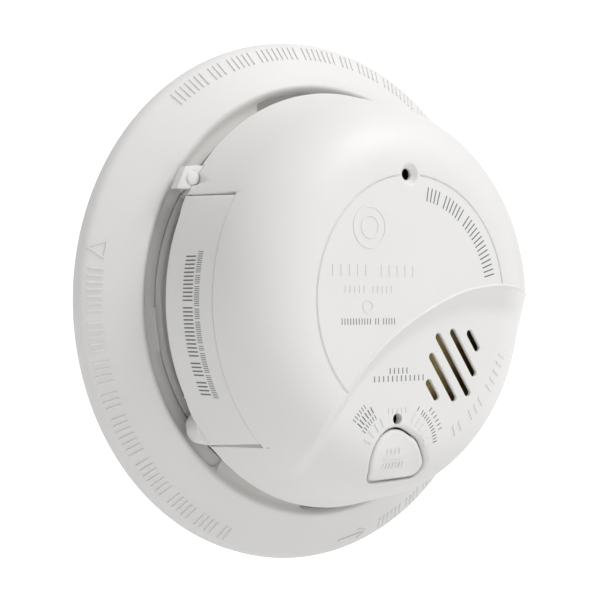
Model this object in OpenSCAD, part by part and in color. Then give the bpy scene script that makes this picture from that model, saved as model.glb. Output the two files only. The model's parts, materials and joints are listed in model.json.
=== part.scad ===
// Round mains-powered smoke alarm on a twist-on mounting bracket.
//
// Every sub-part is drawn in a working frame whose z axis points out of the wall, with x to the
// right and y up as the alarm is seen from the front. place() turns that frame into the part's own
// frame: origin at the centre of the bracket's back face, +Z up, the front towards -Y.

/* [Mounting bracket] */
// Radius of the bracket's outer edge
bracket_r = 71; // [70:0.5:73]
// Thickness of the plate that lies on the wall
plate_t = 2; // [1.8:0.1:2.2]
// Height of the trim ring at its outer lip
lip_h = 4.4; // [4:0.1:5]
// Height of the trim ring's inner crest
crest_h = 11.2; // [10.8:0.1:11.3]
// Wall thickness of the trim ring
ring_wall = 1.8; // [1.5:0.1:2]
// Radius of the opening for the house wiring
wire_opening_r = 31; // [28:0.5:32]
// Centre distance of the two box-screw slots
box_screw_spacing = 88.9; // [86:0.1:90]
// Centre distance of the two wall-anchor holes
anchor_spacing = 74; // [73:0.5:76]

/* [Alarm body] */
// Outer radius of the rear housing's skirt
skirt_r = 52; // [51.5:0.1:52.2]
// Outer radius of the front cover's rim
rim_r = 55.3; // [55:0.1:55.5]
// Distance of the rim from the wall
rim_z = 17; // [16.9:0.1:17.2]
// Distance of the flat face from the wall
face_z = 46.4; // [46:0.1:47]
// Radius of the dome's rounded shoulder
shoulder_r = 20; // [19:0.5:20]
// Wall thickness of the front cover
cover_t = 2; // [1.8:0.1:2.2]
// Distance of the lowered control area from the wall
floor_z = 42.6; // [42.2:0.1:43]

/* [Battery drawer] */
// Upper end of the drawer at the rim, measured from the alarm's centre
drawer_top = 25.4; // [25:0.1:26]
// Lower end of the drawer at the rim, measured from the alarm's centre
drawer_low = -36.1; // [-36.3:0.1:-36]
// Height at which the drawer's skin ends and the dome goes on
seam_z = 32.2; // [32:0.1:32.4]
// Diameter of the battery cell
cell_d = 16.8; // [16.4:0.1:17]
// Length of the battery cell
cell_len = 34; // [33:0.5:34.5]

/* [Controls] */
// Width of a horn slot
slot_w = 1.95; // [1.5:0.05:2.1]
// Distance between neighbouring horn slots
slot_pitch = 4.8; // [4.5:0.05:5]
// Radius of the test button's round upper left side
button_r = 6.8; // [6.7:0.1:7]
// Gap around the test button
button_gap = 0.5; // [0.4:0.1:0.6]
// Travel of the test button
button_travel = 1.2; // [1:0.1:1.3]

/* [Hidden] */
$fn = 96;

far = 90;
eps = 0.01;

// Trim ring: radii of its crest and of its inner bank, and of the cut faces in the bank.
crest_r = 58.6;
bank_in_r = 52.3;
bank_z = 9.1;
vent_r = 56.5;
vent_floor_z = 6.2;
pocket_r = 56.5;
pocket_floor_z = 8.3;
pocket_from = 149;
pocket_to = 231;
fill_out_r = 58.5;
fill_margin = 2;
vent_spans = [[61, 113.5], [261.5, 314], [335, 385]];

// Twist-on hooks.
hook_angles = [90, 210, 330];
hook_half = 4;
hook_in_r = 42.3;
hook_out_r = 43.7;
hook_lip_r = 45.6;
hook_top = 8.9;
twist_angle = 15;

// Rear housing.
back_z = 5.2;
back_t = 1.8;
back_top = back_z + back_t;
skirt_t = 2;
skirt_foot = 4.4;
low_skirt_z = 7.6;
boss_angles = [2, 108, 242];
boss_r = 3;
screw_r = 1.25;
boss_ring_r = 44.1;
pin_r = 1;
pin_head_r = 1.7;
pin_head_h = 0.35;
spare_pin_z = 3.2;
spare_head_y = -4.4;
lock_x = -47.2;
lock_y = 29.9;
lock_foot = 9.6;
lock_back = 14.4;
lock_front = 17.4;
lock_plan = [[-51.6, 27.2], [-42.6, 27.2], [-42.6, 33.1], [-46, 33.1], [-49.3, 32.7]];
notch_x = -42.3;
notch_top = 33.4;
dimple_r = 1.95;

// Seen from the front: the drawer's skin, and the wider opening it closes. Both narrow a little
// from the rim towards the seam.
drawer_plan = [
    [-far, drawer_top], [-49.1, drawer_top], [-44.5, drawer_top - 0.5], [-20, drawer_top - 0.5],
    [-20, drawer_low + 1.3], [-37.4, drawer_low + 1.3], [-41.9, drawer_low], [-far, drawer_low]
];
opening_plan = [
    [-far, drawer_top + 0.3], [-20, drawer_top + 0.3],
    [-20, drawer_low + 0.3], [-36.5, drawer_low + 0.3], [-41.6, drawer_low - 0.3], [-far, drawer_low - 0.3]
];

// Drawer hinge, parallel to the alarm's axis.
hinge_x = -41.4;
hinge_y = -31.8;
knuckle_r = 4.4;
hinge_pin_r = 1.25;
ear_z = 9.7;
ear_out_r = 54.8;
drawer_floor = 11.9;

// Battery tray.
tray_x0 = -47;
tray_x1 = -26.4;
tray_y0 = -24.6;
tray_y1 = 15.8;
tray_top = 31.4;
cell_x = -36.4;
cell_z = 22.4;
cell_y0 = -20.6;
bay_r = cell_d / 2 + 0.3;
bay_spring = 1.8;
bay_plate = 0.4;

// Circuit board.
board_z = 9.8;
board_t = 1.6;
board_top = board_z + board_t;
board_r = 46;
board_screw_r = 1;
inlet_c = [-10, -14];
inlet_size = [26, 13.4];

// Features of the front.
shoulder_c = [32, face_z - shoulder_r];
floor_r = 19.5;
floor_c = [33.8, floor_z - floor_r];
scoop_c = [28, -53];
scoop_r = 53.5;
groove_r = 31.25;
face_hole = [-1.9, 31.35];
led_hole = [-2.5, -29.9];
slot_angle = -55;
slot_row_angle = 40.2;
slot_centre = [16.8, -16.9];
slot_half = [2.2, 6.6, 9, 6.5, 2.3];
button_c = [-2.6, -39.3];
button_top_c = [0.9, -39.75];
button_top_r = button_r - 1.4;
button_side_c = [6, -42.6];
button_side_r = button_r - 4;
button_corner_c = [-6.4, -43.5];
button_corner_r = button_r - 4.7;
button_low = 35.4;
button_flange = 0.9;
stem_c = [-1.5, -41.3];
stem_r = 2.2;

// Horn and smoke chamber.
horn_c = [16.5, -17.6];
horn_r = 18.6;
horn_disc_z = 36.4;
chamber_c = [17, 21];
chamber_r = 17.5;
chamber_top = 32;

plastic_white = "#ECEAE6";
steel = "#B8BBBD";
gold = "#C8A24A";

// ---- helpers -------------------------------------------------------------------------------

// Turns the working frame (z out of the wall) into the part's own frame.
module place() {
    rotate([90, 0, 0]) children();
}

function polar(r, a) = r * [cos(a), sin(a)];

function arc(c, r, a0, a1, n) = [for (i = [0:n]) c + polar(r, a0 + (a1 - a0) * i / n)];

// A wedge of the plane between two angles.
module wedge(a0, a1, r = far) {
    polygon(concat([[0, 0]], arc([0, 0], r, a0, a1, 8)));
}

// Part of a flat ring between two angles.
module ring_part(r0, r1, a0, a1) {
    intersection() {
        difference() {
            circle(r1);
            circle(r0);
        }
        wedge(a0, a1);
    }
}

module slab(z0, z1) {
    translate([0, 0, z0]) linear_extrude(z1 - z0) children();
}

module rod(r, z0, z1) {
    translate([0, 0, z0]) cylinder(r = r, h = z1 - z0);
}

module box_between(a, b) {
    translate(a) cube(b - a);
}

// Solid dome under the outer surface, drawn in by inset.
module dome(inset, foot = rim_z) {
    rotate_extrude() polygon(concat(
        [[0, foot], [0, face_z - inset]],
        arc(shoulder_c, shoulder_r - inset, 90, 17.2, 14),
        [[rim_r - inset, rim_z], [rim_r - inset, foot]]
    ));
}

// Solid under the lowered control area.
module lowered_dome(inset, foot = rim_z) {
    rotate_extrude() polygon(concat(
        [[0, foot], [0, floor_z - inset]],
        arc(floor_c, floor_r - inset, 90, 12, 14),
        [[rim_r - inset, rim_z], [rim_r - inset, foot]]
    ));
}

// The dome with its lowered control area, drawn in by inset.
module stepped_dome(inset, foot = rim_z) {
    difference() {
        dome(inset, foot);
        difference() {
            slab(0, far) translate(scoop_c) circle(scoop_r + inset);
            lowered_dome(inset, foot - 1);
        }
    }
}

// Outline of the test button: four arcs, counter-clockwise from its lower right side.
function button_outline(grow) = concat(
    arc(button_side_c, button_side_r + grow, -89.1, 33.5, 12),
    arc(button_top_c, button_top_r + grow, 33.5, 59.3, 6),
    arc(button_c, button_r + grow, 59.3, 193.9, 16),
    arc(button_corner_c, button_corner_r + grow, 193.9, 270.9, 6)
);

// ---- mounting bracket ----------------------------------------------------------------------

module bracket_section() {
    lip_c = [bracket_r - 2, lip_h - 2];
    bank_wall_r = bank_in_r + ring_wall;
    polygon(concat(
        [[wire_opening_r, 0], [bank_wall_r, 0], [bank_wall_r, bank_z - ring_wall]],
        [
            [crest_r, crest_h - ring_wall - 0.7],
            [bracket_r - ring_wall, lip_h - 1.6],
            [bracket_r - ring_wall, 0]
        ],
        [[bracket_r, 0]],
        arc(lip_c, 2, 0, 60, 5),
        arc([crest_r - 0.4, crest_h - 2], 2, 60, 110, 4),
        [[57, crest_h - 0.5], [56.2, crest_h - 1.2], [55.2, bank_z + 0.25], [54, bank_z]],
        [[bank_in_r, bank_z - 0.1], [bank_in_r, plate_t], [wire_opening_r, plate_t]]
    ));
}

// Ring-shaped fill under the bank, behind a pocket or an air inlet.
module bank_fill(z0, z1, a0, a1) {
    slab(z0, z1) ring_part(bank_in_r, fill_out_r, a0 - fill_margin, a1 + fill_margin);
}

// Plan of the finger recess: a curved trough with rounded outer corners.
module pocket_plan() {
    corner_r = 3;
    corner_a = 3.2;
    ring_part(50, pocket_r - corner_r, pocket_from, pocket_to);
    ring_part(50, pocket_r, pocket_from + corner_a, pocket_to - corner_a);
    for (a = [pocket_from + corner_a, pocket_to - corner_a])
        rotate(a) translate([pocket_r - corner_r, 0]) circle(corner_r);
}

module box_screw_slot() {
    slot_len = 10;
    screw_w = 4.6;
    for (s = [-1, 1]) translate([s * (slot_len - screw_w) / 2, 0]) circle(screw_w / 2);
    square([slot_len - screw_w, screw_w], center = true);
}

module hook() {
    slab(plate_t - 0.5, hook_top) ring_part(hook_in_r, hook_out_r, -hook_half, hook_half);
    slab(hook_top - 1.6, hook_top) ring_part(hook_in_r, hook_lip_r, -hook_half, hook_half);
}

module mounting_bracket() {
    color(plastic_white) place() {
        difference() {
            union() {
                rotate_extrude() bracket_section();
                for (v = vent_spans) bank_fill(0, bank_z - 0.3, v[0], v[1]);
                bank_fill(pocket_floor_z - ring_wall, pocket_floor_z, pocket_from, pocket_to);
            }
            // Finger recess beside the drawer
            slab(pocket_floor_z, crest_h + 1) pocket_plan();
            // Air inlets in the bank
            for (v = vent_spans) slab(vent_floor_z, crest_h + 1) ring_part(50, vent_r, v[0], v[1]);
            // Window under the head of the spare lock pin
            spare_pin_place() box_between([-2, spare_head_y - 1, -far], [2, spare_head_y + 0.4, 0]);
            for (s = [-1, 1]) {
                slab(-1, plate_t + 1) translate([s * box_screw_spacing / 2, 0]) box_screw_slot();
                translate([0, s * anchor_spacing / 2, 0]) rod(2.4, -1, plate_t + 1);
            }
        }
        for (a = hook_angles) rotate(a) hook();
        // Raised mark on the recess's floor
        slab(pocket_floor_z - 0.5, pocket_floor_z + 0.25) ring_part(bank_in_r, bank_in_r + 1.1, 182, 194);
        // Clips that hold the spare lock pin
        spare_pin_place() difference() {
            for (s = [-3, 2]) box_between([-2.2, s - 1, -spare_pin_z + plate_t - 0.5], [2.2, s + 1, 0.7]);
            rotate([90, 0, 0]) cylinder(r = pin_r + 0.05, h = 20, center = true);
            box_between([-0.85, -10, 0], [0.85, 10, 2]);
        }
    }
}

module spare_pin_place() {
    rotate(30) translate([36.6, 0, spare_pin_z]) children();
}

// A lock pin: round shank with a small head. Drawn along +z with the head on top.
module pin_shape(shank) {
    rod(pin_r, -shank, 0);
    rod(pin_head_r, 0, pin_head_h);
}

module spare_lock_pin() {
    color(plastic_white) place() spare_pin_place() translate([0, spare_head_y, 0])
        rotate([90, 0, 0]) pin_shape(9);
}

// ---- alarm housing -------------------------------------------------------------------------

module hinge_place() {
    translate([hinge_x, hinge_y, 0]) children();
}

module boss_places() {
    for (a = boss_angles) rotate(a) translate([boss_ring_r, 0, 0]) children();
}

// Slot for one hook: a wide way in, and a narrow part under which the hook's lip locks.
module hook_slot() {
    clear_a = 1;
    ring_part(hook_in_r - 0.5, hook_out_r + 0.3, -twist_angle - hook_half - clear_a, hook_half + clear_a);
    ring_part(hook_in_r - 0.5, hook_lip_r + 0.5, -twist_angle - hook_half - clear_a, -hook_half - clear_a);
}

module rear_housing() {
    color(plastic_white) place() difference() {
        union() {
            slab(back_z, back_top) circle(skirt_r - 1);
            // Skirt: full height, and low beside the drawer
            slab(skirt_foot, rim_z) ring_part(skirt_r - skirt_t, skirt_r, -136, pocket_from + 0.5);
            slab(skirt_foot, low_skirt_z) difference() {
                circle(skirt_r);
                circle(skirt_r - skirt_t);
            }
            // Drawer hinge ear, whose outer side clears the ring's bank
            intersection() {
                hinge_place() rod(3.2, ear_z, drawer_floor - 0.4);
                rod(ear_out_r, 0, far);
            }
            intersection() {
                hinge_place() rod(3.2, back_z, drawer_floor - 0.4);
                rod(skirt_r, 0, far);
            }
            // Block for the lock pin
            slab(lock_back, lock_front) polygon(lock_plan);
            box_between([-43, 28.2, lock_foot], [-37.6, 33.1, rim_z - 0.3]);
            // Posts that carry the circuit board
            board_posts() rod(2.6, back_top - 0.5, board_z);
        }
        for (a = hook_angles) slab(back_z - 1, back_top + 1) rotate(a) hook_slot();
        // Windows that let air in under the rim
        for (v = vent_spans) for (i = [0:4]) {
            window_half = 3.6;
            mid = v[0] + (v[1] - v[0]) * (i + 0.5) / 5;
            slab(9.5, 15.5)
                ring_part(skirt_r - skirt_t - 1, skirt_r + 1, mid - window_half, mid + window_half);
        }
        // Way through for the mains inlet
        slab(back_z - 1, back_top + 1) translate(inlet_c) square(inlet_size, center = true);
        translate([lock_x, lock_y, 0]) rod(pin_r + 0.08, lock_back - 1, far);
        hinge_place() rod(hinge_pin_r, ear_z + 0.1, far);
        boss_places() rod(screw_r + 0.4, back_z - 1, back_top + 1);
        board_posts() rod(board_screw_r + 0.05, back_top, far);
    }
}

module horn_slots() {
    for (i = [0:4]) {
        shift = (i - 2) * slot_pitch;
        c = slot_centre + shift * [cos(slot_row_angle), sin(slot_row_angle)];
        translate(c) rotate(slot_angle) {
            for (s = [-1, 1]) translate([s * slot_half[i], 0]) circle(slot_w / 2);
            square([2 * slot_half[i], slot_w], center = true);
        }
    }
}

module front_cover() {
    color(plastic_white) place() {
        difference() {
            stepped_dome(0);
            stepped_dome(cover_t, rim_z - 1);
            // Drawer opening
            slab(0, seam_z + 0.3) polygon(opening_plan);
            // Notch over the lock block, and a dimple that lets the lock pin out
            box_between([-far, drawer_top, 0], [notch_x, notch_top, lock_front + 0.3]);
            translate([lock_x, lock_y, 0]) rod(dimple_r, 0, 24);
            // Thin wall in front of the horn
            intersection() {
                translate(horn_c) rod(14.2, 30, floor_z - 0.7);
                lowered_dome(0.8, 0);
            }
            slab(30, far) horn_slots();
            translate(led_hole) rod(1.5, 30, far);
            translate(face_hole) rod(1.6, 30, far);
            translate([face_hole.x, face_hole.y, face_z - 1.2]) cylinder(r1 = 1.6, r2 = 2.9, h = 1.3);
            slab(30, far) polygon(button_outline(button_gap));
            // Fine groove around the face
            slab(face_z - 0.5, far) ring_part(groove_r - 0.4, groove_r + 0.4, 8, 226);
        }
        // Inner flange that rests on the skirt
        difference() {
            slab(rim_z, rim_z + 1.4) difference() {
                circle(rim_r - 1);
                circle(skirt_r - skirt_t - 0.4);
            }
            box_between([-far, drawer_low - 0.3, 0], [-20, drawer_top + 0.3, far]);
            box_between([-far, drawer_top, 0], [notch_x, notch_top, far]);
        }
        // Screw bosses
        difference() {
            intersection() {
                boss_places() rod(boss_r, back_top, far);
                stepped_dome(cover_t - 0.5, 0);
            }
            boss_places() rod(screw_r + 0.05, 0, 22);
        }
    }
}

module lock_pin() {
    color(plastic_white) place() translate([lock_x, lock_y, lock_front]) pin_shape(2.7);
}

module drawer_hinge_pin() {
    color(steel) place() hinge_place() rod(hinge_pin_r, ear_z + 0.1, rim_z - 0.6);
}

module housing_screws() {
    color(steel) place() boss_places() difference() {
        union() {
            rod(screw_r, 3.2, 19);
            rod(2.6, 3.2, back_z);
        }
        rod(1.2, 3, 4.2, $fn = 6);
    }
}

module rating_label() {
    color("#D9D9D2") place() slab(back_z - 0.2, back_z)
        translate([0, -28.6]) square([36, 13], center = true);
}

// ---- battery drawer ------------------------------------------------------------------------

// Outside envelope of everything that swings out with the drawer.
module drawer_envelope() {
    union() {
        dome(0.3);
        rod(skirt_r - 0.8, 0, rim_z + eps);
    }
}

// Round-bottomed bay for the cell, open towards the front.
module cell_bay() {
    translate([cell_x, cell_y0 - bay_spring, cell_z]) rotate([-90, 0, 0])
        rod(bay_r, 0, cell_len + bay_spring + bay_plate);
    box_between(
        [cell_x - bay_r, cell_y0 - bay_spring, cell_z],
        [cell_x + bay_r, cell_y0 + cell_len + bay_plate, far]
    );
}

module battery_drawer() {
    color(plastic_white) place() difference() {
        union() {
            // Skin, flush with the dome
            intersection() {
                difference() {
                    dome(0);
                    dome(1.8, rim_z - 1);
                }
                slab(rim_z, seam_z - 0.1) polygon(drawer_plan);
            }
            difference() {
                union() {
                    // Lip that ties the skin to the tray
                    intersection() {
                        dome(0.5);
                        box_between(
                            [-far, drawer_low + 0.5, rim_z],
                            [tray_x1 - 8, drawer_top - 0.5, rim_z + 1.6]
                        );
                        slab(0, far) difference() {
                            circle(far);
                            circle(42);
                        }
                    }
                    // Tray
                    intersection() {
                        box_between([tray_x0, tray_y0, drawer_floor], [tray_x1, tray_y1, tray_top]);
                        drawer_envelope();
                    }
                }
                cell_bay();
            }
            // Hinge knuckle and the arm to the tray
            hinge_place() rod(knuckle_r, drawer_floor, rim_z);
            box_between([hinge_x - 1, hinge_y, drawer_floor], [hinge_x + 4, tray_y0 + 1, rim_z]);
            // Latch tongue at the free end
            intersection() {
                box_between(
                    [-43, tray_y1 - 1, drawer_floor + 0.6],
                    [-36, drawer_top - 1.4, drawer_floor + 2.4]
                );
                rod(skirt_r - 1.4, 0, far);
            }
        }
        hinge_place() rod(hinge_pin_r + 0.05, 0, rim_z - 0.4);
    }
}

module battery_cell() {
    color("#3E6FA8") place() translate([cell_x, cell_y0, cell_z]) rotate([-90, 0, 0]) {
        rod(cell_d / 2, 0, cell_len - 1);
        rod(3.2, cell_len - 1 - eps, cell_len);
    }
}

module battery_spring_contact() {
    turns = 2.5;
    color(steel) place() translate([cell_x, cell_y0 - bay_spring, cell_z]) rotate([-90, 0, 0]) {
        rod(4, 0, 0.3);
        translate([0, 0, 0.3])
            linear_extrude(bay_spring - 0.4, twist = -360 * turns, slices = 60, $fn = 10)
            translate([2.8, 0]) circle(0.4);
    }
}

module battery_plate_contact() {
    color(steel) place()
        box_between(
            [cell_x - 4, cell_y0 + cell_len, cell_z - 4],
            [cell_x + 4, cell_y0 + cell_len + bay_plate, cell_z + 4]
        );
}

// Two spring leaves on the board that meet the drawer's contacts.
module supply_contacts() {
    color(gold) place() for (y = [5, 11]) {
        box_between([tray_x1 + 0.9, y, board_top], [tray_x1 + 1.3, y + 3, 20]);
        translate([tray_x1 + 0.95, y, 17.5]) rotate([-90, 0, 0]) rod(0.6, 0, 3);
    }
}

// ---- test button and its switch ------------------------------------------------------------

module test_button() {
    color(plastic_white) place() {
        intersection() {
            slab(button_low, far) polygon(button_outline(0));
            lowered_dome(0.3, 0);
        }
        intersection() {
            slab(button_low, button_low + 1) polygon(button_outline(button_flange));
            lowered_dome(cover_t + button_travel + 0.6, 0);
        }
        translate([stem_c.x, stem_c.y, 0]) rod(stem_r, 16.6, button_low + eps);
    }
}

module switch_body() {
    color("#2B2B2D") place() {
        difference() {
            translate([stem_c.x, stem_c.y, 0]) slab(board_top, 15) square([5.6, 5.6], center = true);
            translate([stem_c.x, stem_c.y, 0]) rod(1.55, 13, far);
        }
        // Sleeve that guides the button's stem
        difference() {
            translate([stem_c.x, stem_c.y, 0]) rod(4.6, board_top, 22);
            translate([stem_c.x, stem_c.y, 0]) rod(stem_r + 0.3, 15.6, far);
            translate([stem_c.x, stem_c.y, 0]) slab(0, 15.6) square([6, 6], center = true);
        }
    }
}

module switch_plunger() {
    color("#7A2A22") place() translate([stem_c.x, stem_c.y, 0]) rod(1.5, 14.3, 16.5);
}

// ---- circuit board and what stands on it ---------------------------------------------------

module board_posts() {
    for (p = [[0.5, 38.2], [38.4, -6], [-12, -35]]) translate([p.x, p.y, 0]) children();
}

module board_outline() {
    difference() {
        circle(board_r);
        // Clear of the drawer
        polygon([
            [-far, drawer_low + 1], [-34, drawer_low + 1], [tray_x1 + 0.6, tray_y0 - 1.5],
            [tray_x1 + 0.6, 21], [-far, 21]
        ]);
        boss_places() circle(boss_r + 0.4);
        translate(inlet_c) square(inlet_size + [0.6, 0.6], center = true);
    }
}

module circuit_board() {
    color("#3B6B3A") place() difference() {
        slab(board_z, board_top) board_outline();
        board_posts() rod(board_screw_r + 0.2, 0, far);
    }
}

module board_screws() {
    color(steel) place() board_posts() {
        rod(board_screw_r, back_top + 0.4, board_top);
        difference() {
            rod(2.1, board_top, board_top + 1.3);
            slab(board_top + 0.7, far) square([3, 0.5], center = true);
        }
    }
}

module control_ic() {
    color("#232326") place() translate([-11, 4, 0]) {
        difference() {
            slab(board_top + 0.6, board_top + 4) square([20, 6.4], center = true);
            translate([-10, 0, 0]) rod(1, board_top + 3.4, far);
        }
        for (i = [0:7], s = [-1, 1]) slab(board_top, board_top + 2)
            translate([(i - 3.5) * 2.54, s * 3.5]) square([0.5, 0.7], center = true);
    }
}

module mains_capacitor() {
    color("#C9A227") place() slab(board_top, board_top + 13)
        translate([-14, 32.5]) square([17, 7], center = true);
}

module electrolytic_capacitors() {
    color("#2C3550") place() for (p = [[-18, 18.5], [-7, 18.5]]) translate([p.x, p.y, 0]) difference() {
        rod(4, board_top, board_top + 11);
        rod(3.2, board_top + 10.7, far);
    }
}

module varistor() {
    color("#2F5FA0") place() translate([-21, -29, board_top + 6.6]) rotate([90, 0, 35]) {
        translate([0, 0, -1.8]) cylinder(r = 5, h = 3.6);
        for (s = [-1, 1]) translate([s * 2.5 - 0.3, -6.6, -0.3]) cube([0.6, 3, 0.6]);
    }
}

module axial_part(p, a, r, len, lift) {
    translate([p.x, p.y, board_top + lift]) rotate([0, 0, a]) {
        translate([-len / 2, 0, 0]) rotate([0, 90, 0]) cylinder(r = r, h = len);
        for (s = [-1, 1]) translate([s * (len / 2 + 1) - 0.25, -0.25, -lift]) cube([0.5, 0.5, lift + 0.25]);
        translate([-len / 2 - 1.25, 0, 0]) rotate([0, 90, 0]) cylinder(r = 0.25, h = len + 2.5);
    }
}

module fuse_resistors() {
    color("#C8B48A") place() for (i = [0:3]) axial_part([8, -2 - 3.4 * i], 0, 1.1, 6.4, 1.4);
}

module rectifier_diodes() {
    color("#2A2A2A") place() for (i = [0:3]) axial_part([22, -6 - 4.2 * i], 0, 1.3, 5, 1.6);
}

module mains_inlet() {
    color("#E4E2DC") place() {
        difference() {
            union() {
                translate(inlet_c) slab(back_z - 1, 19) square(inlet_size - [0.4, 0.4], center = true);
                translate(inlet_c) slab(back_top, back_top + 1.4)
                    square(inlet_size + [2.6, 2.6], center = true);
            }
            translate(inlet_c) slab(0, 17.2) square(inlet_size - [3.2, 3.2], center = true);
        }
    }
}

module inlet_pins() {
    color(gold) place() for (i = [-1:1]) translate([inlet_c.x + 7 * i, inlet_c.y, 0])
        slab(11, 17.2) square([0.8, 4], center = true);
}

// ---- smoke chamber -------------------------------------------------------------------------

module chamber_place() {
    translate([chamber_c.x, chamber_c.y, 0]) children();
}

module chamber_base() {
    color("#E8E8E4") place() chamber_place() difference() {
        union() {
            rod(chamber_r + 0.6, board_top, board_top + 2.4);
            rod(6, board_top, board_top + 5);
        }
        rod(1.6, board_top + 2, far);
    }
}

module source_electrode() {
    color(steel) place() chamber_place() difference() {
        rod(5, board_top + 5, board_top + 6);
        rod(1.4, board_top + 4, far);
    }
}

module collector_electrode() {
    color(steel) place() chamber_place() {
        difference() {
            rod(10, board_top + 10, board_top + 10.6);
            rod(2, 0, far);
        }
        for (a = [0, 120, 240]) rotate(a) translate([8.4, 0, 0]) rod(0.8, board_top + 2.4, board_top + 10);
    }
}

module chamber_can() {
    wall = 0.6;
    color(steel) place() chamber_place() difference() {
        rod(chamber_r, board_top + 2.4, chamber_top);
        rod(chamber_r - wall, board_top + 2, chamber_top - wall);
        for (i = [0:11]) rotate(30 * i) translate([chamber_r, 0, 0])
            box_between([-2, -2.6, board_top + 6], [2, 2.6, chamber_top - 4]);
        rod(3, 0, far);
    }
}

module insect_screen() {
    wall = 0.5;
    color("#8C8F90") place() chamber_place() difference() {
        rod(chamber_r - 0.9, board_top + 2.4, chamber_top - 0.9);
        rod(chamber_r - 0.9 - wall, 0, far);
        for (i = [0:11], k = [0:3]) rotate(30 * i) translate([chamber_r, 0, board_top + 6 + 3 * k])
            box_between([-3, -2.2, 0], [1, 2.2, 1.6]);
    }
}

// ---- horn ----------------------------------------------------------------------------------

module horn_place() {
    translate([horn_c.x, horn_c.y, 0]) children();
}

module horn_housing() {
    color("#2A2A2B") place() difference() {
        union() {
            horn_place() rod(horn_r, 25, horn_disc_z);
            for (a = [100, 220, 340]) horn_place() rotate(a) translate([14, 0, 0]) rod(1.4, board_top, 26);
        }
        horn_place() rod(horn_r - 1.2, 26.4, 35);
        horn_place() rod(horn_r - 2.6, 30, far);
        horn_place() rod(2, 20, far);
    }
}

module horn_disc() {
    color(gold) place() horn_place() rod(17.5, horn_disc_z, horn_disc_z + 0.3);
}

module horn_seal() {
    color("#1E1E20") place() horn_place() difference() {
        rod(17.5, horn_disc_z + 0.3, horn_disc_z + 1.2);
        rod(15.8, 0, far);
    }
}

module horn_contacts() {
    color(steel) place() horn_place() for (a = [-60, 180]) rotate(a) translate([10, 0, 0])
        rod(0.5, board_top, 25);
}

// ---- indicator lights ----------------------------------------------------------------------

module led_shape(top) {
    rod(1.5, board_top + 0.8, top - 1.5);
    translate([0, 0, top - 1.5]) sphere(1.5);
    rod(1.9, board_top + 0.8, board_top + 1.8);
    for (s = [-1, 1]) translate([s * 0.9 - 0.2, -0.2, board_top]) cube([0.4, 0.4, 0.9]);
}

// A clear rod whose hollow foot stands on the board over its light.
module light_pipe_shape(top) {
    difference() {
        union() {
            rod(2.8, board_top, 20);
            rod(1.3, 20 - eps, top);
        }
        rod(2.1, 0, 18.4);
    }
}

module power_led() {
    color("#3FA35B") place() translate([led_hole.x, led_hole.y, 0]) led_shape(18);
}

module power_light_pipe() {
    color("#DADBD6") place() translate([led_hole.x, led_hole.y, 0]) light_pipe_shape(38.6);
}

module alarm_led() {
    color("#B5322C") place() translate([face_hole.x, face_hole.y, 0]) led_shape(18);
}

module alarm_light_pipe() {
    color("#DADBD6") place() translate([face_hole.x, face_hole.y, 0]) light_pipe_shape(42);
}

mounting_bracket();
spare_lock_pin();
rear_housing();
front_cover();
lock_pin();
drawer_hinge_pin();
housing_screws();
rating_label();
battery_drawer();
battery_cell();
battery_spring_contact();
battery_plate_contact();
supply_contacts();
test_button();
switch_body();
switch_plunger();
circuit_board();
board_screws();
control_ic();
mains_capacitor();
electrolytic_capacitors();
varistor();
fuse_resistors();
rectifier_diodes();
mains_inlet();
inlet_pins();
chamber_base();
source_electrode();
collector_electrode();
chamber_can();
insect_screen();
horn_housing();
horn_disc();
horn_seal();
horn_contacts();
power_led();
power_light_pipe();
alarm_led();
alarm_light_pipe();
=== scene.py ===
"""Visual model of a wired smoke alarm on its twist-on bracket.

Shapes are worked out in millimetres in a working frame: x to the right and y up as the alarm is
seen from the front, z out of the wall. world() turns that into the part's own frame in metres.
"""

import json
import math
from functools import cache

import bmesh
import bpy
import numpy as np
from mathutils import Matrix, Vector
from mathutils.geometry import delaunay_2d_cdt

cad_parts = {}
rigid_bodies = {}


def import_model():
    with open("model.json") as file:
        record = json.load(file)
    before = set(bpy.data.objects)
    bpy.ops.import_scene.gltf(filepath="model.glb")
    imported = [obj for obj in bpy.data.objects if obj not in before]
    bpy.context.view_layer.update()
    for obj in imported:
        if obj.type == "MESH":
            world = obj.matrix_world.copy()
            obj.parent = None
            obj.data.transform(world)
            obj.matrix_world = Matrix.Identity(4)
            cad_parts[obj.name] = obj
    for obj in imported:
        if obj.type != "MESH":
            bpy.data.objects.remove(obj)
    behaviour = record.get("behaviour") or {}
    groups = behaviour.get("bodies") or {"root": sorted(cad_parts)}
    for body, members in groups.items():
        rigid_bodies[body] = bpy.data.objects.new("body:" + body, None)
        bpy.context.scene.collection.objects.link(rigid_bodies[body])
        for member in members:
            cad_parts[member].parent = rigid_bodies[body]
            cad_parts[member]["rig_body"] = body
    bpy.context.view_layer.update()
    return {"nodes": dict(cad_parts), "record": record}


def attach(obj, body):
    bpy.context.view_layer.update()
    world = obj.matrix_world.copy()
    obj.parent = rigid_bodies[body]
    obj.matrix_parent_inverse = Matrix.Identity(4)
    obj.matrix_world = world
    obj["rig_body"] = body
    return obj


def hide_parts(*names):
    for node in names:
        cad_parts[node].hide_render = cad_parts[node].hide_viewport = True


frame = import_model()
NODES = frame["nodes"]

MM = 0.001

# ---- sizes shared by several pieces, in millimetres ----

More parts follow.
